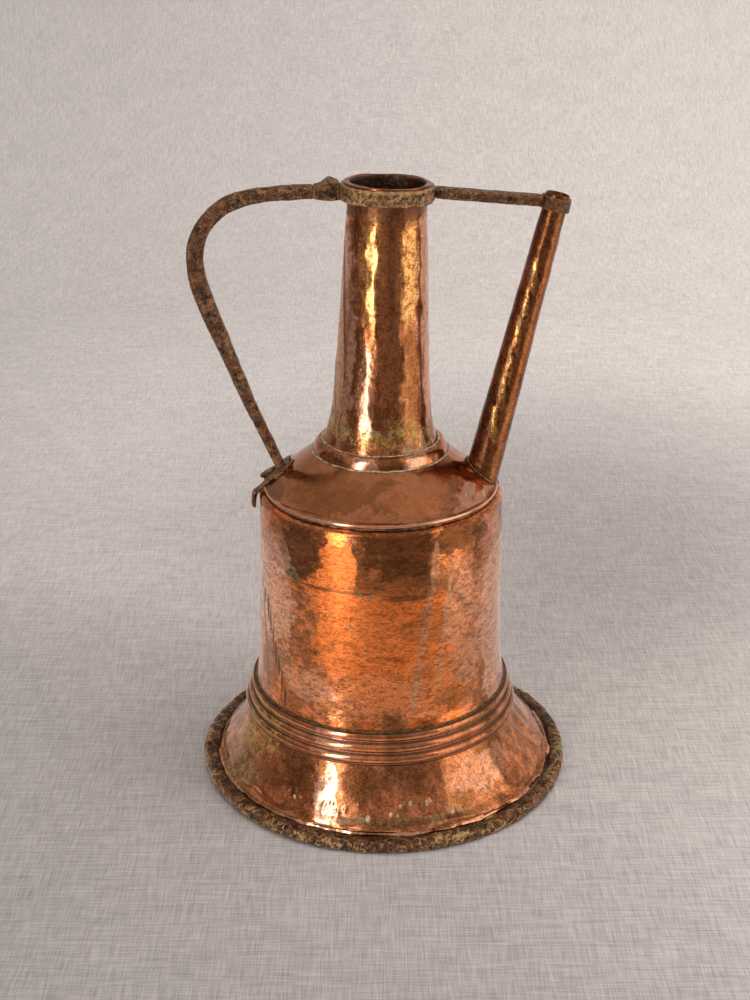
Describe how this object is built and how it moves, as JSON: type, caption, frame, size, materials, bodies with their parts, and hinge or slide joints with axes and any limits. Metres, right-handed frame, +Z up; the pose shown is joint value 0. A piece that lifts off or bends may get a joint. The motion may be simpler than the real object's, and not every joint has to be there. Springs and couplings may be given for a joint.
{
  "type": "watering can",
  "caption": "Antique copper watering can: hammered drum on a flared foot with an iron hoop, tall neck, forged iron loop handle and a straight slanting spout braced to the mouth.",
  "frame": {"origin": "centre of the base hoop's underside, on the surface that the can stands on", "axes": "+Z up, +X towards the spout, -X towards the handle; -Y is the side that the picture shows"},
  "size_m": [0.284, 0.284, 0.4524],
  "materials": {
    "copper": "polished old copper with brown patina, soft dents and hammer facets",
    "hammered_copper": "hammered copper, orange with dark brown patches and fine dimples",
    "red_copper": "rounded copper ring, red brown with worn pink highlights",
    "tinned_copper": "dull tarnished copper plate",
    "iron": "forged iron, rusty dark brown with a pitted crust and tan speckles",
    "solder": "dull old solder with pale green verdigris",
    "braze": "yellow brazing metal, lumpy and partly tarnished"
  },
  "bodies": {
    "root": {"base_hoop": "iron", "hoop_brazing": "braze", "base_plate": "tinned_copper", "base_solder": "solder", "foot_skirt": "copper", "skirt_seam": "braze", "bead_band": "copper", "drum_solder": "solder", "drum_wall": "hammered_copper", "drum_seam": "braze", "rim_solder": "solder", "shoulder": "copper", "collar_solder": "solder", "neck_collar": "red_copper", "neck_solder": "solder", "neck_tube": "copper", "neck_seam": "braze", "mouth_hoop": "iron", "handle_bar": "iron", "handle_knuckle": "iron", "handle_fork": "iron", "handle_brazing": "braze", "spout_tube": "copper", "spout_solder": "solder", "spout_seam": "braze", "spout_ring": "iron", "spout_brace": "iron"}
  },
  "joints": []
}
